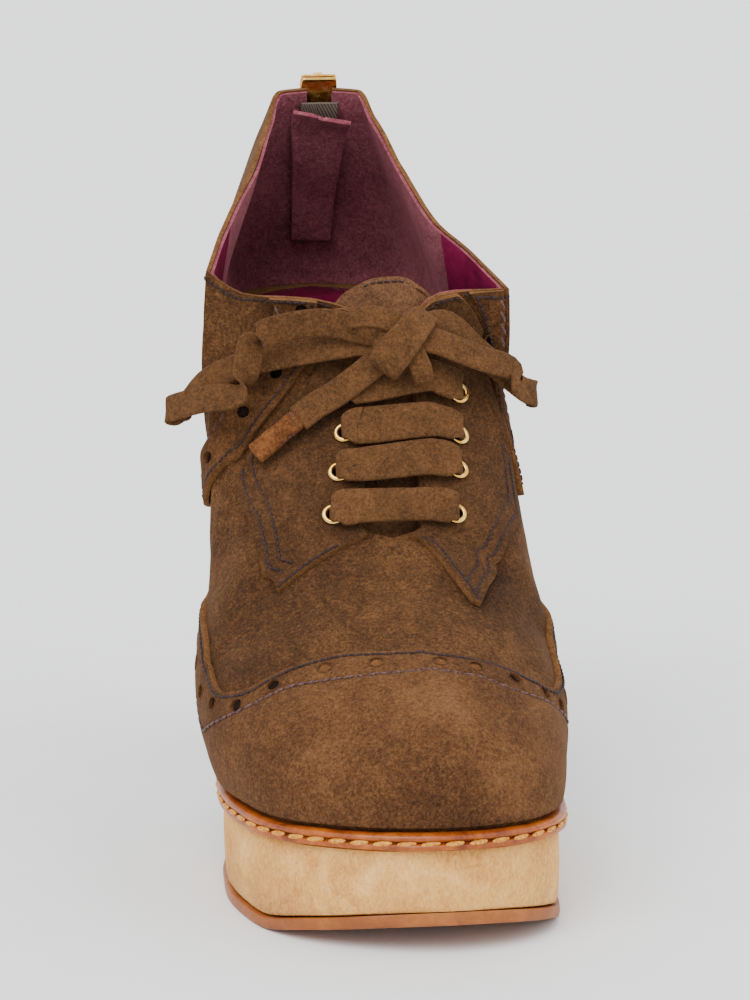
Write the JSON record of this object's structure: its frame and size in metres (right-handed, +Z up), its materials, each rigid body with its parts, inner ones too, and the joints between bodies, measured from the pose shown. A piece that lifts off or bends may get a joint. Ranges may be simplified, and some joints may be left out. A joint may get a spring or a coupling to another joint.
{
  "type": "lace up heel",
  "caption": "Ankle-high lace up heel with a wing toe cap, open derby facings, a back zip, a crepe platform and a block heel",
  "frame": {"origin": "centre of the flat underside of the heel's top lift, on the ground plane", "axes": "+Z up; -Y to the toe; +X to the medial side of this right shoe"},
  "size_m": [0.0983, 0.2226, 0.1994],
  "materials": {
    "brown suede": "napped suede",
    "tongue suede": "napped suede",
    "burgundy insole leather": "smooth, satin",
    "tan welt leather": "stitched, satin",
    "natural crepe rubber": "matt, crinkled",
    "tan sole leather": "polished",
    "top lift rubber": "matt",
    "polished brass": "polished",
    "lace suede": "napped suede",
    "lace tip leather": "rolled, worn",
    "zip tape": "woven, matt",
    "lining suede": "fine nap"
  },
  "bodies": {
    "shoe": {"upper": "brown suede", "toe_cap": "brown suede", "facing_lateral": "brown suede", "facing_medial": "brown suede", "band_lateral": "brown suede", "band_medial": "brown suede", "tongue": "tongue suede", "insole": "burgundy insole leather", "welt": "tan welt leather", "platform": "natural crepe rubber", "outsole": "tan sole leather", "heel": "brown suede", "top_lift": "top lift rubber", "eyelet_lateral_1": "polished brass", "eyelet_medial_1": "polished brass", "eyelet_lateral_2": "polished brass", "eyelet_medial_2": "polished brass", "eyelet_lateral_3": "polished brass", "eyelet_medial_3": "polished brass", "eyelet_lateral_4": "polished brass", "eyelet_medial_4": "polished brass", "lace_bar_1": "lace suede", "lace_bar_2": "lace suede", "lace_bar_3": "lace suede", "lace_bar_4": "lace suede", "lace_knot": "lace suede", "lace_loop_medial": "lace suede", "lace_loop_lateral": "lace suede", "lace_end": "lace suede", "lace_tip": "lace tip leather", "zip_tape": "zip tape", "zip_guard": "lining suede", "zip_teeth": "polished brass", "zip_slider": "polished brass"},
    "pull": {"zip_bail": "polished brass", "pull_tab": "brown suede"}
  },
  "joints": [
    {"name": "pull_hinge", "type": "hinge", "parent": "shoe", "child": "pull", "pos_m": [0, 0.00758, 0.19515], "axis": [1, 0, 0], "range_deg": [0, 140]}
  ]
}
